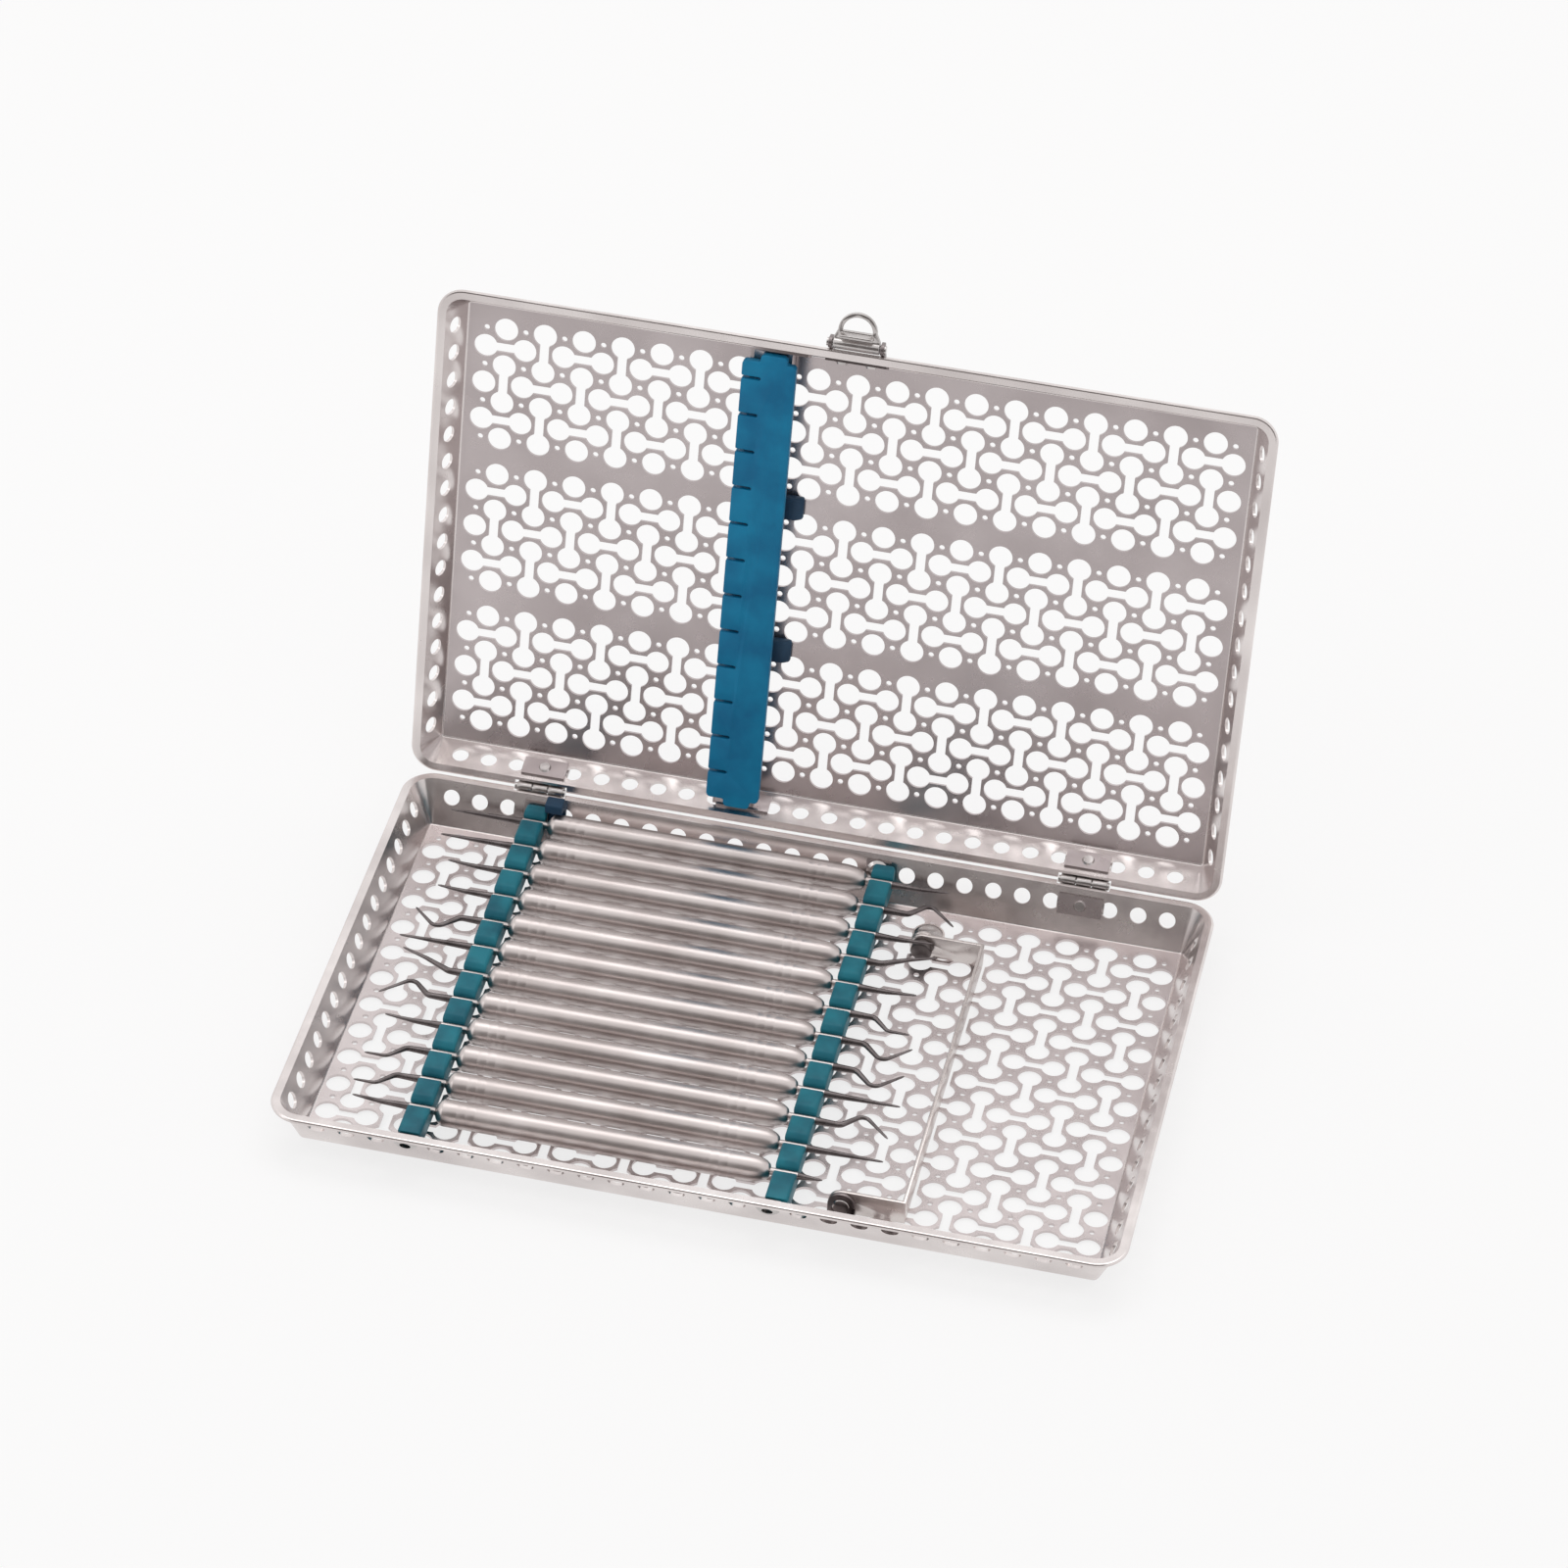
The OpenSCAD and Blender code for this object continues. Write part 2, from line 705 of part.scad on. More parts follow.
module retainer_floor_rivet() {
    color(bright_steel)
        translate([pivot_x, pad_y, 0]) {
            cylinder(r = floor_rivet_r, h = sheet_t + ear_t);
            translate([0, 0, sheet_t + ear_t])
                cylinder(r1 = floor_rivet_r + 1, r2 = floor_rivet_r - 0.6, h = 0.9);
        }
}

// Pivot pin through ear and arm; z = 0 is the ear's outer face and z runs towards the arm
module pivot_pin(head_r, head_t) {
    grip = ear_t + retainer_t + 2 * ear_gap;
    cylinder(r = retainer_rivet_r, h = grip);
    translate([0, 0, -1]) cylinder(r = retainer_rivet_r + 1, h = 1);
    translate([0, 0, grip]) cylinder(r = head_r, h = head_t);
}

module retainer_rivet_front() {
    color(bright_steel)
        translate([pivot_x, front_ear_y - ear_t / 2, pivot_z])
            rotate([-90, 0, 0])
                pivot_pin(retainer_rivet_r + 1.2, 0.9);
}

module retainer_knob_back() {
    color(bright_steel)
        translate([pivot_x, back_ear_y + ear_t / 2, pivot_z])
            rotate([90, 0, 0])
                pivot_pin(3.6, 3.2);
}

// Instruments: turned handle with ring grooves, tapered necks and bent working ends
handle_r = handle_d / 2;
shank_r = shank_d / 2;
neck_left = 3;
neck_right = 9;
groove = 0.35;

// Working ends: straight stretches, each with the bend that follows it and the side it bends to, in degrees
TIP_SHAPES = [
    [[19, 0, 0]],
    [[6.5, 45, 180], [5.5, 88, 180], [9, 0, 0]],
    [[7, 45, 0], [5, 88, 180], [10, 0, 0]],
    [[5, 26, 0], [16, 0, 0]],
    [[7, 45, 180], [5, 45, 180], [6, 0, 0]],
    [[25, 0, 0]],
    [[8, 0, 0]]
];
RIGHT_TIPS = [6, 5, 2, 5, 1, 1, 4, 0, 3, 0, 2, 0];
LEFT_TIPS = [0, 4, 4, 0, 2, 3, 5, 1, 0, 0, 5, 5];
tip_bend_r = 3;

// Bent rod along +Z; it tapers in its straight stretches and keeps its radius in its bends
module bent_rod(stretches, i, r) {
    if (i < len(stretches)) {
        stretch = stretches[i][0];
        turn = stretches[i][1];
        next_r = r + (tip_d / 2 - r) / (len(stretches) - i);
        cylinder(r1 = r, r2 = next_r, h = stretch);
        translate([0, 0, stretch])
            rotate([0, 0, stretches[i][2]]) {
                if (turn > 0)
                    translate([tip_bend_r, 0, 0])
                        rotate([90, 0, 180])
                            rotate_extrude(angle = turn)
                                translate([tip_bend_r, 0])
                                    circle(r = next_r);
                translate([tip_bend_r * (1 - cos(turn)), 0, tip_bend_r * sin(turn)])
                    rotate([0, turn, 0])
                        bent_rod(stretches, i + 1, next_r);
            }
    }
}

module working_end(shape, side, reach) {
    translate([side * reach, 0, 0])
        rotate([0, 90 * side, 0])
            rotate([0, 0, 90])
                bent_rod(TIP_SHAPES[shape], 0, shank_r);
}

module instrument(k) {
    left_reach = rail_w / 2 - rail_left_x;
    right_reach = rail_w / 2 + rail_right_x;
    body_left = handle_left_x + neck_left;
    body_right = handle_right_x - neck_right;
    color(bright_steel)
        translate([0, rack_place(k), axis_z]) {
            rotate([0, 90, 0])
                rotate_extrude()
                    polygon(concat(
                        [[0, -left_reach], [shank_r, -left_reach], [shank_r, handle_left_x], [handle_r, body_left]],
                        joined([for (ring = [0:2]) [
                            [handle_r, body_left + 4 + 3 * ring],
                            [handle_r - groove, body_left + 4.5 + 3 * ring],
                            [handle_r, body_left + 5 + 3 * ring]
                        ]]),
                        joined([for (ring = [2:-1:0]) [
                            [handle_r, body_right - 5 - 3 * ring],
                            [handle_r - groove, body_right - 4.5 - 3 * ring],
                            [handle_r, body_right - 4 - 3 * ring]
                        ]]),
                        [[handle_r, body_right], [shank_r, handle_right_x], [shank_r, right_reach], [0, right_reach]]
                    ));
            working_end(LEFT_TIPS[k - 1], -1, left_reach);
            working_end(RIGHT_TIPS[k - 1], 1, right_reach);
        }
}

// Hold-down strip of the lid, carried by a steel channel
strip_low_z = axis_z + handle_r + strip_clearance;
strip_top_z = strip_low_z + strip_t;
strip_half_y = lid_crease_y - 1;
channel_t = 1;
tongue_w = 9;
end_plate_w = 18;
end_plate_h = 7;
end_rivet_z = lid_hole_z - 0.5;
end_x = nearest_hole(strip_x + 3);

// Half length between the lid's walls at height z of the closed lid
function lid_reach_at(z) = inner_reach(lid_crease_y, lid_top_z - z);

// Channel between the lid's walls, cut back at its ends round the heads of the end rivets
module channel_rail() {
    web_h = lid_inner_z - strip_top_z;
    half_w = channel_w / 2;
    bend_z = lid_inner_z - bend_r;
    difference() {
        intersection() {
            translate([strip_x, 0, strip_top_z])
                rotate([90, 0, 0])
                    linear_extrude(depth_y, center = true)
                        polygon([
                            [-half_w, 0],
                            [half_w, 0],
                            [half_w, web_h],
                            [half_w - channel_t, web_h],
                            [half_w - channel_t, channel_t],
                            [channel_t - half_w, channel_t],
                            [channel_t - half_w, web_h],
                            [-half_w, web_h]
                        ]);
            translate([strip_x, 0, 0])
                rotate([90, 0, 90])
                    linear_extrude(channel_w + 2, center = true)
                        polygon([
                            [0.5 - lid_reach_at(strip_top_z), strip_top_z - 0.1],
                            [lid_reach_at(strip_top_z) - 0.5, strip_top_z - 0.1],
                            [lid_reach_at(bend_z) - 0.5, bend_z],
                            [lid_reach_at(bend_z) - bend_r, lid_inner_z + 0.1],
                            [bend_r - lid_reach_at(bend_z), lid_inner_z + 0.1],
                            [0.5 - lid_reach_at(bend_z), bend_z]
                        ]);
        }
        lid_side_up()
            for (side = [-1, 1])
                on_wall(end_x, lid_crease_y, end_rivet_z, side)
                    cylinder(r = rivet_head_r + gap, h = 2 * (channel_t + rivet_head_t + gap), center = true);
    }
}

module strip_channel() {
    color(steel)
        on_lid() {
            channel_rail();
            lid_side_up()
                for (side = [-1, 1])
                    on_wall(end_x, lid_crease_y, end_rivet_z, side)
                        wall_plate(end_plate_w, end_plate_h, channel_t, rivet_r + run_fit);
        }
}

module hold_down_strip() {
    tongue_reach = lid_reach_at(strip_top_z) - channel_t / lean_cos - gap;
    color(deep_blue)
        on_lid()
            translate([strip_x, 0, strip_low_z])
                linear_extrude(strip_t)
                    difference() {
                        union() {
                            rounded_slab(strip_w / 2, strip_half_y, 1.5);
                            translate([1.5, 0]) rounded_slab(tongue_w / 2, tongue_reach, 1.5);
                        }
                        for (k = [0:12])
                            translate([-strip_w / 2 - 1, rack_place(k) + instrument_pitch / 2 - 0.5])
                                square([slit_depth + 1, 1]);
                    }
}

// Soft plugs beside the channel that hold the strip to the plain rows of the lid
plug_w = 8;
plug_l = 7;
plug_h = 4;

module strip_plugs() {
    color(navy)
        on_lid()
            for (side = [-1, 1])
                translate([strip_x + channel_w / 2, side * band_row * cell + plug_w / 2, lid_inner_z])
                    rotate([90, 0, 0])
                        linear_extrude(plug_w)
                            polygon([
                                [0, 0],
                                [plug_l, 0],
                                [plug_l, -plug_h / 2],
                                [plug_l - 2.4, -plug_h],
                                [0, -plug_h]
                            ]);
}

// Latch: a bracket on the lid's front wall, a pin, and a lever with a finger loop
latch_knuckle_r = 1.9;
latch_pin_y = -(rim_y + 0.4 + latch_knuckle_r);
latch_pin_z = lid_rim_z + lip_t / 2;
latch_root_w = latch_w + 2.4;
latch_ear_t = 1.2;
latch_span = latch_root_w + 2 * gap + 2 * latch_ear_t;
latch_plate_t = 1.1;
latch_rivet_x = nearest_hole(0.75 * wall_hole_pitch);
latch_plate_w = max(latch_span + 2, 2 * latch_rivet_x + 5);
latch_low_z = lid_rim_z + lip_t + gap;
latch_high_z = latch_low_z + 6.3;
lever_t = 1.4;

// Place of the outer face of the lid's front wall at height z of the closed lid
function front_face(z) = -outer_reach(lid_crease_y, lid_top_z - z);

module latch_bracket() {
    plate_depth = latch_plate_t / lean_cos;
    color(steel)
        on_lid()
            difference() {
                union() {
                    rotate([90, 0, 90])
                        linear_extrude(latch_plate_w, center = true)
                            polygon([
                                [front_face(latch_low_z), latch_low_z],
                                [front_face(latch_low_z) - plate_depth, latch_low_z],
                                [front_face(latch_high_z) - plate_depth, latch_high_z],
                                [front_face(latch_high_z), latch_high_z]
                            ]);
                    for (side = [-1, 1])
                        translate([side * (latch_span - latch_ear_t) / 2, 0, 0])
                            rotate([90, 0, 90])
                                linear_extrude(latch_ear_t, center = true) {
                                    translate([latch_pin_y, latch_pin_z]) circle(r = latch_knuckle_r);
                                    polygon([
                                        [latch_pin_y - latch_knuckle_r, latch_pin_z],
                                        [latch_pin_y + latch_knuckle_r, latch_pin_z],
                                        [latch_pin_y + latch_knuckle_r, latch_low_z],
                                        [front_face(latch_low_z) - 0.2, latch_low_z],
                                        [front_face(latch_high_z) - 0.2, latch_high_z],
                                        [latch_pin_y - latch_knuckle_r, latch_pin_z + 2]
                                    ]);
                                }
                }
                translate([0, latch_pin_y, latch_pin_z])
                    rotate([0, 90, 0])
                        cylinder(r = latch_pin_r + run_fit, h = 2 * latch_span, center = true);
                lid_side_up()
                    for (side = [-1, 1])
                        on_wall(side * latch_rivet_x, lid_crease_y, lid_hole_z, -1)
                            cylinder(r = rivet_r + run_fit, h = 8, center = true);
            }
}

module latch_backing() {
    color(steel)
        on_lid()
            lid_side_up()
                on_wall(0, lid_crease_y, lid_hole_z, -1)
                    difference() {
                        translate([0, 0, backing_t / 2])
                            cube([latch_plate_w, backing_h - 1, backing_t], center = true);
                        for (side = [-1, 1])
                            translate([side * latch_rivet_x, 0, 0])
                                cylinder(r = rivet_r + run_fit, h = 4, center = true);
                    }
}

module lid_rivets() {
    color(bright_steel)
        on_lid()
            lid_side_up()
                for (side = [-1, 1]) {
                    on_wall(side * hinge_x, lid_crease_y, lid_hole_z, 1)
                        rivet(backing_t, sheet_t + leaf_t, rivet_head_r);
                    on_wall(side * latch_rivet_x, lid_crease_y, lid_hole_z, -1)
                        rivet(backing_t, sheet_t + latch_plate_t, rivet_head_r);
                    on_wall(end_x, lid_crease_y, end_rivet_z, side)
                        rivet(channel_t, sheet_t, wall_hole_d / 2 + 1.1);
                }
}

module latch_pin() {
    head_t = 0.6;
    color(bright_steel)
        on_lid()
            translate([0, latch_pin_y, latch_pin_z])
                rotate([0, 90, 0]) {
                    cylinder(r = latch_pin_r, h = latch_span, center = true);
                    for (end = [-1, 1])
                        translate([0, 0, end * (latch_span + head_t) / 2])
                            cylinder(r = latch_pin_r + 0.5, h = head_t, center = true);
                }
}

// The lever is drawn pointing straight out from the closed lid, as it lies when flipped open
hook_reach = latch_pin_z - (base_depth - lip_t - gap);
hook_t = 1.2;
hook_h = 3.4;
loop_bar = 1.5;

module latch_lever() {
    loop_r = latch_w / 2;
    loop_y = loop_r - latch_reach;
    eye_top = -(hook_reach + hook_t + 0.6);
    color(bright_steel)
        on_lid()
            translate([0, latch_pin_y, latch_pin_z])
                difference() {
                    union() {
                        rotate([0, 90, 0]) cylinder(r = latch_knuckle_r, h = latch_root_w, center = true);
                        translate([0, 0, -lever_t / 2])
                            linear_extrude(lever_t)
                                difference() {
                                    union() {
                                        polygon([
                                            [-latch_root_w / 2, 0],
                                            [-latch_root_w / 2, -latch_knuckle_r - 0.6],
                                            [-loop_r, loop_y],
                                            [loop_r, loop_y],
                                            [latch_root_w / 2, -latch_knuckle_r - 0.6],
                                            [latch_root_w / 2, 0]
                                        ]);
                                        translate([0, loop_y]) circle(r = loop_r);
                                    }
                                    intersection() {
                                        translate([0, loop_y]) circle(r = loop_r - loop_bar);
                                        translate([-loop_r, -latch_reach]) square([latch_w, latch_reach + eye_top]);
                                    }
                                }
                        translate([1 - loop_r, -hook_reach - hook_t, -hook_h])
                            cube([latch_w - 2, hook_t, hook_h]);
                    }
                    rotate([0, 90, 0]) cylinder(r = latch_pin_r + run_fit, h = 2 * latch_span, center = true);
                }
}

base_floor();
base_walls();
base_hinge(-1);  // base_hinge_left
base_hinge(1);  // base_hinge_right
hinge_pin(-1);  // hinge_pin_left
hinge_pin(1);  // hinge_pin_right
base_hinge_backing();
base_hinge_rivets();
rail_carrier_left();
rail_carrier_right();
rail(rail_left_x);  // rail_left
rail(rail_right_x);  // rail_right
rail_eyelets();
rail_pull_tab();
retainer_bracket_front();
retainer_bracket_back();
retainer_rivet_front();
retainer_knob_back();
retainer_floor_rivet();
retainer_bail();
instrument(1);  // instrument_01
instrument(2);  // instrument_02
instrument(3);  // instrument_03
instrument(4);  // instrument_04
instrument(5);  // instrument_05
instrument(6);  // instrument_06
instrument(7);  // instrument_07
instrument(8);  // instrument_08
instrument(9);  // instrument_09
instrument(10);  // instrument_10
instrument(11);  // instrument_11
instrument(12);  // instrument_12
lid_panel();
lid_walls();
lid_hinge(-1);  // lid_hinge_left
lid_hinge(1);  // lid_hinge_right
lid_hinge_backing();
lid_rivets();
strip_channel();
hold_down_strip();
strip_plugs();
latch_bracket();
latch_backing();
latch_pin();
latch_lever();
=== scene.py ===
import json
import math

import bmesh
import bpy
from mathutils import Euler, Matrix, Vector


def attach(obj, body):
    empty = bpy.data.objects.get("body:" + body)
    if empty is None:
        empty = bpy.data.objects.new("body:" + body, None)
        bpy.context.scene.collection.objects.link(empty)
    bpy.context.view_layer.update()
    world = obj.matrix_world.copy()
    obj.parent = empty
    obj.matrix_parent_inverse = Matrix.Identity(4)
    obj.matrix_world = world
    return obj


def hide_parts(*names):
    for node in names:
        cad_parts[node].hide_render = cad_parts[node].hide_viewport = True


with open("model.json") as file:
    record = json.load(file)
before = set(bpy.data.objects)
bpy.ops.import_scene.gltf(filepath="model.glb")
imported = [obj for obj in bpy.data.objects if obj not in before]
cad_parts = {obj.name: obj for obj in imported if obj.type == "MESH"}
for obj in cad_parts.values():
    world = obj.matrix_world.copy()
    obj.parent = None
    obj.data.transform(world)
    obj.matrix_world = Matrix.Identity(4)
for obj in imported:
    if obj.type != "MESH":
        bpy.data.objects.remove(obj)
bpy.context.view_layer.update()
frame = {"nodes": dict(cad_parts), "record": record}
nodes = frame["nodes"]
MM = 0.001
MICRON = 0.000001


# Shader helpers

class Shader:
    """A node material with one Principled shader; its texture space is the object frame, in metres."""

    def __init__(self, name):
        self.material = bpy.data.materials.new(name)
        self.material.use_nodes = True
        self.tree = self.material.node_tree
        self.surface = self.tree.nodes["Principled BSDF"]
        self.place = self.node("ShaderNodeTexCoord").outputs["Object"]

    def node(self, kind):
        return self.tree.nodes.new(kind)

    def link(self, output, socket):
        self.tree.links.new(output, socket)

    def stretched(self, scale):
        """The object frame, scaled along each axis."""
        mapping = self.node("ShaderNodeMapping")
        mapping.inputs["Scale"].default_value = scale
        self.link(self.place, mapping.inputs["Vector"])
        return mapping.outputs["Vector"]

    def noise(self, size, detail, stretch=(1.0, 1.0, 1.0), rough=0.5):
        """Noise whose spots are about size metres across."""
        made = self.node("ShaderNodeTexNoise")
        made.inputs["Scale"].default_value = 1.0 / size
        made.inputs["Detail"].default_value = detail
        made.inputs["Roughness"].default_value = rough
        self.link(self.stretched(stretch), made.inputs["Vector"])
        return made.outputs["Fac"]

    def colours(self, factor, stops):
        """Runs a factor through a colour ramp."""
        made = self.node("ShaderNodeValToRGB")
        ramp = made.color_ramp
        while len(ramp.elements) < len(stops):
            ramp.elements.new(0.5)
        for element, (position, colour) in zip(ramp.elements, stops):
            element.position = position
            element.color = (*colour, 1.0)
        self.link(factor, made.inputs["Fac"])
        return made.outputs["Color"]

    def span(self, factor, low, high):
        """Maps the middle of a noise, 0.3 to 0.7, to low and high."""
        made = self.node("ShaderNodeMapRange")
        made.inputs["From Min"].default_value = 0.3
        made.inputs["From Max"].default_value = 0.7
        made.inputs["To Min"].default_value = low
        made.inputs["To Max"].default_value = high
        self.link(factor, made.inputs["Value"])
        return made.outputs["Result"]

    def bumps(self, heights):
        """Chains bumps; heights lists (factor, depth in metres)."""
        normal = None
        for factor, depth in heights:
            made = self.node("ShaderNodeBump")
            made.inputs["Strength"].default_value = 1.0
            made.inputs["Distance"].default_value = depth
            self.link(factor, made.inputs["Height"])
            if normal is not None:
                self.link(normal, made.inputs["Normal"])
            normal = made.outputs["Normal"]
        self.link(normal, self.surface.inputs["Normal"])

    def base(self, colour):
        self.link(colour, self.surface.inputs["Base Color"])

    def roughness(self, value):
        self.link(value, self.surface.inputs["Roughness"])


def steel(name, dark, light, rough, cloud, grain, depth, stretch=(1.0, 1.0, 1.0)):
    """Stainless steel: clouded tone, fine grain and faint handling marks.

    rough is the lowest and highest roughness, cloud and grain are sizes in mm, depth is the grain's in
    micrometres, and a stretch under 1 draws the grain out along that axis.
    """
    shader = Shader(name)
    clouds = shader.noise(cloud * MM, 4.0)
    scratches = shader.noise(grain * MM, 2.0, stretch)
    marks = shader.noise(cloud * MM * 0.25, 3.0, rough=0.55)
    shader.base(shader.colours(clouds, [(0.30, dark), (0.70, light)]))
    shader.roughness(shader.span(marks, *rough))
    shader.bumps([(scratches, depth * MICRON), (clouds, depth * MICRON * 1.5)])
    shader.surface.inputs["Metallic"].default_value = 1.0
    return shader.material


def silicone(name, dark, light, gloss):
    """Moulded silicone rubber: even tone with slight clouding, dust-fine grain and little shine."""
    shader = Shader(name)
    clouds = shader.noise(0.012, 3.0)
    grain = shader.noise(0.0005, 2.0)
    shader.base(shader.colours(clouds, [(0.32, dark), (0.68, light)]))
    shader.roughness(shader.span(grain, gloss, gloss + 0.10))
    shader.bumps([(grain, 0.00002), (clouds, 0.00010)])
    shader.surface.inputs["Specular IOR Level"].default_value = 0.28
    return shader.material


# Lid panel, walls and base floor are one electropolished sheet steel; the walls and the floor get lighter
# tones than the panel as painted light, standing in for the light they catch.
sheet = steel("sheet_steel_electropolished", dark=(0.45, 0.395, 0.395), light=(0.58, 0.52, 0.52),
              rough=(0.25, 0.33), cloud=30.0, grain=0.6, depth=2.0)
lit_wall_steel = steel("wall_steel_painted_lighter", dark=(0.64, 0.585, 0.575), light=(0.83, 0.775, 0.760),
                  rough=(0.20, 0.28), cloud=24.0, grain=0.6, depth=2.0)
lit_floor_steel = steel("floor_steel_painted_lighter", dark=(0.56, 0.500, 0.498), light=(0.70, 0.635, 0.630),
                    rough=(0.25, 0.33), cloud=30.0, grain=0.6, depth=2.0)
bright = steel("fittings_polished_steel", dark=(0.44, 0.41, 0.40), light=(0.60, 0.57, 0.56),
               rough=(0.14, 0.26), cloud=6.0, grain=0.4, depth=3.0)
bail_steel = steel("bail_strip_steel", dark=(0.62, 0.565, 0.545), light=(0.82, 0.760, 0.735),
                   rough=(0.24, 0.38), cloud=15.0, grain=0.4, depth=6.0, stretch=(0.1, 0.1, 1.0))
# Dark steel for the front retainer bracket and the latch parts; on the front bracket the dark tone is painted
# shade, for its front face lying in shadow, while the matching back bracket takes the light bail steel.
dull_and_shaded_steel = steel("bracket_steel_with_painted_shade", dark=(0.20, 0.172, 0.172), light=(0.31, 0.270, 0.268),
                   rough=(0.32, 0.46), cloud=6.0, grain=0.4, depth=4.0)
dark_steel = steel("darkened_steel", dark=(0.10, 0.085, 0.085), light=(0.20, 0.175, 0.17),
                   rough=(0.30, 0.45), cloud=4.0, grain=0.3, depth=5.0)
handle_steel = steel("handle_satin_steel", dark=(0.54, 0.480, 0.465), light=(0.66, 0.600, 0.585),
                     rough=(0.31, 0.38), cloud=18.0, grain=0.4, depth=3.0, stretch=(0.05, 1.0, 1.0))
tip_steel = steel("working_end_steel", dark=(0.10, 0.085, 0.085), light=(0.20, 0.175, 0.175),
                  rough=(0.24, 0.36), cloud=6.0, grain=0.3, depth=4.0, stretch=(0.2, 1.0, 1.0))
strip_blue = silicone("strip_silicone_blue", (0.000, 0.135, 0.285), (0.002, 0.205, 0.385), 0.42)
rail_teal = silicone("rail_silicone_teal", (0.006, 0.105, 0.150), (0.014, 0.200, 0.260), 0.38)
navy = silicone("soft_silicone_navy", (0.010, 0.035, 0.075), (0.022, 0.065, 0.120), 0.45)

NODES_BY_LOOK = [
    (sheet, ["lid_panel", "strip_channel", "rail_carrier_left", "rail_carrier_right",
             "base_hinge_backing", "lid_hinge_backing"]),
    # Walls and floor: lighter copies of the sheet steel, painted light
    (lit_wall_steel, ["base_walls", "lid_walls"]),
    (lit_floor_steel, ["base_floor"]),
    (bright, ["base_hinge_left", "base_hinge_right", "hinge_pin_left", "hinge_pin_right", "base_hinge_rivets",
              "rail_eyelets", "retainer_rivet_front", "retainer_floor_rivet", "lid_hinge_left",
              "lid_hinge_right", "lid_rivets", "latch_pin", "latch_lever"]),
    (bail_steel, ["retainer_bail", "retainer_bracket_back"]),
    # Front bracket darkened as painted shade; the latch parts share this dark steel
    (dull_and_shaded_steel, ["retainer_bracket_front", "latch_bracket", "latch_backing"]),
    (dark_steel, ["retainer_knob_back"]),
    (rail_teal, ["rail_left", "rail_right"]),
    (strip_blue, ["hold_down_strip"]),
    (navy, ["rail_pull_tab", "strip_plugs"]),
]
LOOKS = {node: look for look, members in NODES_BY_LOOK for node in members}
BODIES = frame["record"]["behaviour"]["bodies"]
BODY_OF = {node: body for body, members in BODIES.items() for node in members}


def give(piece, *materials):
    """Puts materials into a piece's slots, from the first on."""
    while len(piece.data.materials) < len(materials):
        piece.data.materials.append(None)
    for index, material in enumerate(materials):
        piece.material_slots[index].material = material


def finished(mesh, smooth_angle):
    """Smooth shading with sharp edges over an angle in degrees."""
    mesh.shade_smooth()
    mesh.set_sharp_from_angle(angle=math.radians(smooth_angle))


# Fittings with softened edges

# Points closer than WELD mm are one, faces within FLAT degrees are one, edges over FOLD degrees are rounded
WELD = 0.002
FLAT = 0.6
FOLD = 32.0


def softened(node, width):
    """Puts a copy of a node's solid, with its sharp edges rounded by width mm, in that node's place."""
    source = nodes[node]
    mesh = source.data.copy()
    mesh.name = node + "_soft"
    work = bmesh.new()
    work.from_mesh(mesh)
    bmesh.ops.remove_doubles(work, verts=work.verts, dist=WELD * MM)
    bmesh.ops.dissolve_limit(work, angle_limit=math.radians(FLAT), verts=work.verts, edges=work.edges)
    work.to_mesh(mesh)
    work.free()
    piece = bpy.data.objects.new(node + "_soft", mesh)
    bpy.context.scene.collection.objects.link(piece)
    bevel = piece.modifiers.new("soft_edges", "BEVEL")
    bevel.width = width * MM
    bevel.segments = 2
    bevel.limit_method = "ANGLE"
    bevel.angle_limit = math.radians(FOLD)
    bevel.miter_outer = "MITER_ARC"
    bpy.context.view_layer.update()
    done = piece.evaluated_get(bpy.context.evaluated_depsgraph_get())
    baked = bpy.data.meshes.new_from_object(done)
    piece.modifiers.clear()
    piece.data = baked
    finished(baked, 42.0)
    give(piece, LOOKS[node])
    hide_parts(node)
    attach(piece, BODY_OF[node])


# Radius of the rounding, in mm
SOFT_EDGES = {
    "rail_left": 0.45, "rail_right": 0.45,
    "hold_down_strip": 0.55, "rail_pull_tab": 0.4, "strip_plugs": 0.8,
    "retainer_bail": 0.22, "retainer_bracket_front": 0.2, "retainer_bracket_back": 0.2,
    "retainer_knob_back": 0.5, "retainer_rivet_front": 0.3, "retainer_floor_rivet": 0.2,
    "latch_lever": 0.3, "latch_bracket": 0.2,
    "base_hinge_left": 0.15, "base_hinge_right": 0.15, "lid_hinge_left": 0.15, "lid_hinge_right": 0.15,
    "strip_channel": 0.15,
}
for node, width in SOFT_EDGES.items():
    softened(node, width)


# Hand instruments: a turned handle and two bent, tapered working ends, built as one skin; lengths in mm

INSTRUMENTS = 12
# Middle of the rack, distance between instruments and height of their axes
RACK_Y = 4.6
RACK_PITCH = 13.2
AXIS_Z = 11.0
# Ends of the shanks, where the working ends begin, and ends of the handle
LEFT_REACH = -97.2
RIGHT_REACH = 30.9
HANDLE_LEFT = -88.4
HANDLE_RIGHT = 22.0
# Radii of handle, shank and the working ends' points, and the shoulder where the handle begins
HANDLE_R = 4.5
SHANK_R = 1.3
POINT_R = 0.40
SHOULDER = 0.15
# Lengths of the handle's round left end and of its taper at the right
ROUND_END = 3.0
TAPER = 9.0
# Ring grooves: number at each end, distance, depth and half widths at the surface and at the bottom
RINGS = 3
RING_STEP = 3.0
GROOVE = 0.06
GROOVE_TOP = 0.5
GROOVE_BOTTOM = 0.2
# Radius of the working ends' bends and number of points round each ring of the skin
TIP_BEND_R = 3.0
AROUND = 56

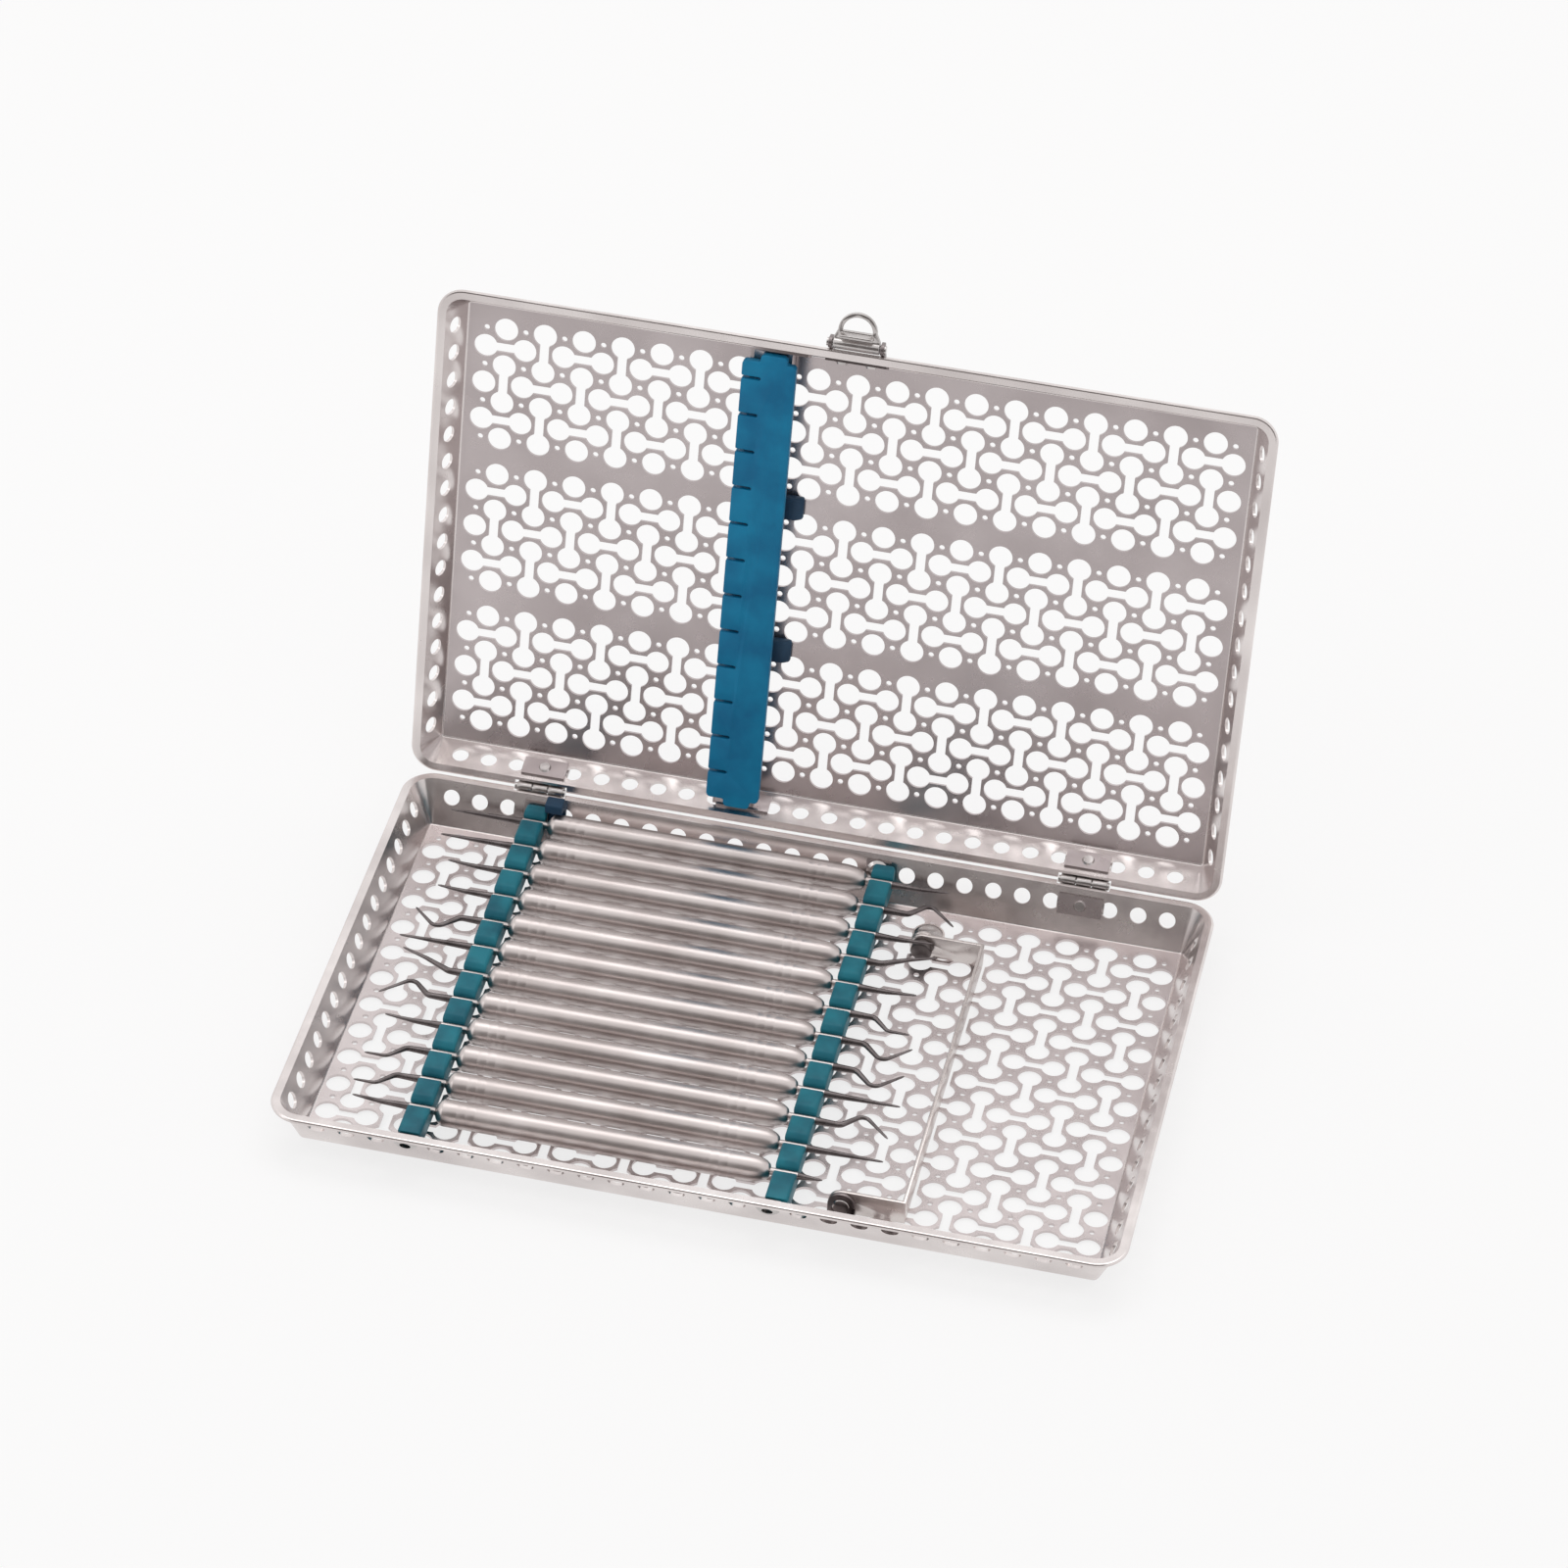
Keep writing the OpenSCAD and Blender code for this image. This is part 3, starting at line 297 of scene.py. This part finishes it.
# Stretch in mm, bend that follows it in degrees, and whether it bends to the front (-1) or the back (1)
TIP_SHAPES = [
    [(9, 5, 1), (10, 0, 1)],
    [(6.5, 45, -1), (5.5, 88, 1), (9, 0, 1)],
    [(7, 45, 1), (5, 88, -1), (10, 0, 1)],
    [(4, 26, 1), (9, 6, -1), (9, 0, 1)],
    [(7, 45, -1), (5, 45, 1), (6, 0, 1)],
    [(25, 0, 1)],
    [(8, 0, 1)],
]
RIGHT_TIPS = [6, 5, 2, 5, 1, 1, 4, 0, 3, 0, 2, 0]
LEFT_TIPS = [0, 4, 4, 0, 2, 3, 5, 1, 0, 0, 5, 5]


def tip_path(shape, side):
    """Points of a working end in the instrument's plane, and each point's share of the whole length."""
    heading = 0.0
    x = y = 0.0
    points = [(x, y)]
    for stretch, turn, way in TIP_SHAPES[shape]:
        steps = max(2, int(stretch))
        for i in range(steps):
            x += stretch / steps * math.cos(heading)
            y += stretch / steps * math.sin(heading)
            points.append((x, y))
        parts = max(1, turn // 8)
        for i in range(parts if turn else 0):
            change = math.radians(turn) / parts * way
            chord = 2 * TIP_BEND_R * math.sin(abs(change) / 2)
            x += chord * math.cos(heading + change / 2)
            y += chord * math.sin(heading + change / 2)
            heading += change
            points.append((x, y))
    run = [0.0]
    for a, b in zip(points, points[1:]):
        run.append(run[-1] + math.dist(a, b))
    return [(side * px, py, r / run[-1]) for (px, py), r in zip(points, run)]


def handle_profile():
    """Radii along the handle: round left end, faint ring grooves and a rounded taper at the right end."""
    left = HANDLE_LEFT + ROUND_END
    right = HANDLE_RIGHT - TAPER
    neck = SHANK_R + SHOULDER
    points = [(LEFT_REACH, SHANK_R), (HANDLE_LEFT - 0.25, SHANK_R), (HANDLE_LEFT, neck)]
    for t in (0.2, 0.4, 0.6, 0.8, 1.0):
        swell = math.sin(t * math.pi / 2) ** 0.8
        points.append((HANDLE_LEFT + ROUND_END * t, neck + (HANDLE_R - neck) * swell))
    for start in (left + 4.5, right - 10.5):
        for ring in range(RINGS):
            middle = start + RING_STEP * ring
            points.append((middle - GROOVE_TOP, HANDLE_R))
            points.append((middle - GROOVE_BOTTOM, HANDLE_R - GROOVE))
            points.append((middle + GROOVE_BOTTOM, HANDLE_R - GROOVE))
            points.append((middle + GROOVE_TOP, HANDLE_R))
    for t in (0.0, 0.2, 0.4, 0.55, 0.7, 0.82, 0.9, 0.96, 1.0):
        points.append((right + TAPER * t, SHANK_R + (HANDLE_R - SHANK_R) * math.sqrt(1.0 - t ** 2.4)))
    points.append((RIGHT_REACH, SHANK_R))
    return sorted(points)


def ring_of(work, centre, across, up, r_across, r_up):
    """One closed ring of AROUND points about a centre, with a radius for each of its two directions."""
    ring = []
    for i in range(AROUND):
        angle = 2 * math.pi * i / AROUND
        spot = centre + across * (r_across * math.cos(angle)) + up * (r_up * math.sin(angle))
        ring.append(work.verts.new(spot * MM))
    return ring


def skin(work, rings, material):
    """Faces between one ring and the next."""
    for a, b in zip(rings, rings[1:]):
        for i in range(AROUND):
            j = (i + 1) % AROUND
            face = work.faces.new((a[i], b[i], b[j], a[j]))
            face.material_index = material


def working_rings(work, shape, side, start):
    """Rings of a working end, blade-flat and fine towards its point."""
    path = tip_path(shape, side)
    rings = []
    for i, (px, py, share) in enumerate(path[1:], 1):
        before = Vector(path[i - 1][:2])
        after = Vector(path[min(i + 1, len(path) - 1)][:2])
        along = (after - before).normalized()
        across = Vector((-along.y, along.x, 0.0)) * side
        radius = SHANK_R + (POINT_R - SHANK_R) * share ** 0.8
        flat = 1.0 - 0.35 * max(0.0, (share - 0.55) / 0.45)
        if i == len(path) - 1:
            radius *= 0.55
        centre = start + Vector((px, py, 0.0))
        rings.append(ring_of(work, centre, across, Vector((0, 0, 1)), radius, radius * flat))
    return rings


def instrument(k):
    """Builds instrument k, counted from the front, in its node's place."""
    middle = Vector((0.0, RACK_Y + (k - (INSTRUMENTS + 1) / 2) * RACK_PITCH, AXIS_Z))
    work = bmesh.new()
    across, up = Vector((0, 1, 0)), Vector((0, 0, 1))
    rings = [ring_of(work, middle + Vector((x, 0, 0)), across, up, r, r) for x, r in handle_profile()]
    skin(work, rings, 0)
    left = working_rings(work, LEFT_TIPS[k - 1], -1, middle + Vector((LEFT_REACH, 0, 0)))
    right = working_rings(work, RIGHT_TIPS[k - 1], 1, middle + Vector((RIGHT_REACH, 0, 0)))
    skin(work, [rings[0]] + left, 1)
    skin(work, [rings[-1]] + right, 1)
    work.faces.new(left[-1]).material_index = 1
    work.faces.new(right[-1]).material_index = 1
    bmesh.ops.recalc_face_normals(work, faces=work.faces)
    name = "instrument_%02d_turned" % k
    mesh = bpy.data.meshes.new(name)
    work.to_mesh(mesh)
    work.free()
    piece = bpy.data.objects.new(name, mesh)
    bpy.context.scene.collection.objects.link(piece)
    give(piece, handle_steel, tip_steel)
    finished(mesh, 50.0)
    node = "instrument_%02d" % k
    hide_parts(node)
    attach(piece, BODY_OF[node])


for k in range(1, INSTRUMENTS + 1):
    instrument(k)

for node, look in LOOKS.items():
    give(nodes[node], look)


# Studio: pale floor, white surroundings, one large soft lamp overhead and a fill from the left

def white_where_seen(tree, shown, lit, output):
    """Camera, glossy and transmission rays see one shader, and every other ray the other."""
    path = tree.nodes.new("ShaderNodeLightPath")
    seen = path.outputs["Is Camera Ray"]
    for ray in ("Is Glossy Ray", "Is Transmission Ray"):
        either = tree.nodes.new("ShaderNodeMath")
        either.operation = "MAXIMUM"
        tree.links.new(seen, either.inputs[0])
        tree.links.new(path.outputs[ray], either.inputs[1])
        seen = either.outputs[0]
    mix = tree.nodes.new("ShaderNodeMixShader")
    tree.links.new(seen, mix.inputs[0])
    tree.links.new(lit, mix.inputs[1])
    tree.links.new(shown, mix.inputs[2])
    tree.links.new(mix.outputs[0], output)


world = bpy.data.worlds.new("studio")
world.use_nodes = True
bpy.context.scene.world = world
world.node_tree.nodes.clear()
surround = world.node_tree.nodes.new("ShaderNodeBackground")
surround.inputs["Color"].default_value = (1.0, 1.0, 1.0, 1.0)
surround.inputs["Strength"].default_value = 1.0
ambient = world.node_tree.nodes.new("ShaderNodeBackground")
ambient.inputs["Color"].default_value = (1.0, 0.985, 0.98, 1.0)
ambient.inputs["Strength"].default_value = 0.76
world_out = world.node_tree.nodes.new("ShaderNodeOutputWorld")
white_where_seen(world.node_tree, surround.outputs[0], ambient.outputs[0], world_out.inputs["Surface"])


def lamp(name, place, target, width, height, strength):
    """Soft rectangular lamp aimed at a point; sizes in metres, strength for each unit of its area."""
    data = bpy.data.lights.new(name, "AREA")
    data.shape = "RECTANGLE"
    data.size = width
    data.size_y = height
    data.energy = strength * math.pi * width * height
    made = bpy.data.objects.new(name, data)
    bpy.context.scene.collection.objects.link(made)
    made.location = place
    made.rotation_euler = (Vector(target) - Vector(place)).to_track_quat("-Z", "Y").to_euler()


lamp("key_softbox", (-0.10, 0.52, 1.36), (0.0, 0.0, 0.02), 1.3, 0.66, 1.30)
lamp("side_softbox", (-1.1, -0.5, 0.9), (0.0, 0.0, 0.05), 0.5, 0.5, 0.9)

# Grey card behind the camera; only reflections show it, as in a studio that is darker in front
card_shader = bpy.data.materials.new("grey_card")
card_shader.use_nodes = True
card_tree = card_shader.node_tree
card_tone = card_tree.nodes.new("ShaderNodeEmission")
card_tone.inputs["Color"].default_value = (0.22, 0.205, 0.20, 1.0)
card_tree.links.new(card_tone.outputs[0], card_tree.nodes["Material Output"].inputs["Surface"])
card_mesh = bpy.data.meshes.new("grey_card")
card_mesh.from_pydata([(-1.3, -1.75, 0.1), (1.9, -1.75, 0.1), (1.9, -1.75, 2.6), (-1.3, -1.75, 2.6)],
                      [], [(0, 1, 2, 3)])
card_mesh.materials.append(card_shader)
card = bpy.data.objects.new("grey_card", card_mesh)
bpy.context.scene.collection.objects.link(card)
card.visible_camera = False
card.visible_diffuse = False
card.visible_transmission = False
card.visible_shadow = False

# Floor: seen nearly white, so that it joins the surroundings, and still darker in the object's shadow
GLOW_SHARE = 0.72
floor_shader = bpy.data.materials.new("studio_floor")
floor_shader.use_nodes = True
floor_tree = floor_shader.node_tree
floor_surface = floor_tree.nodes["Principled BSDF"]
floor_surface.inputs["Base Color"].default_value = (0.96, 0.955, 0.955, 1.0)
floor_surface.inputs["Roughness"].default_value = 0.9
floor_surface.inputs["Specular IOR Level"].default_value = 0.1
floor_glow = floor_tree.nodes.new("ShaderNodeEmission")
floor_seen = floor_tree.nodes.new("ShaderNodeMixShader")
floor_seen.inputs[0].default_value = GLOW_SHARE
floor_tree.links.new(floor_surface.outputs[0], floor_seen.inputs[1])
floor_tree.links.new(floor_glow.outputs[0], floor_seen.inputs[2])
white_where_seen(floor_tree, floor_seen.outputs[0], floor_surface.outputs[0],
                 floor_tree.nodes["Material Output"].inputs["Surface"])
floor_mesh = bpy.data.meshes.new("studio_floor")
HALF = 6.0
DROP = -0.0004
FLOOR_CORNERS = [(-HALF, -HALF, DROP), (HALF, -HALF, DROP), (HALF, HALF, DROP), (-HALF, HALF, DROP)]
floor_mesh.from_pydata(FLOOR_CORNERS, [], [(0, 1, 2, 3)])
floor_mesh.materials.append(floor_shader)
floor = bpy.data.objects.new("studio_floor", floor_mesh)
bpy.context.scene.collection.objects.link(floor)

# Camera, from the fit of the hole lattice to the photograph's view
CAMERA_PLACE = (0.30024, -1.48377, 1.39865)
CAMERA_TURN = (49.6308, -1.8173, 12.6969)
LENS = 143.855
SENSOR = 36.0
camera_data = bpy.data.cameras.new("camera")
camera_data.sensor_width = SENSOR
camera_data.lens = LENS
camera = bpy.data.objects.new("camera", camera_data)
bpy.context.scene.collection.objects.link(camera)
camera.location = CAMERA_PLACE
camera.rotation_euler = Euler([math.radians(a) for a in CAMERA_TURN], "XYZ")
bpy.context.scene.camera = camera
bpy.context.scene.view_settings.view_transform = "Standard"
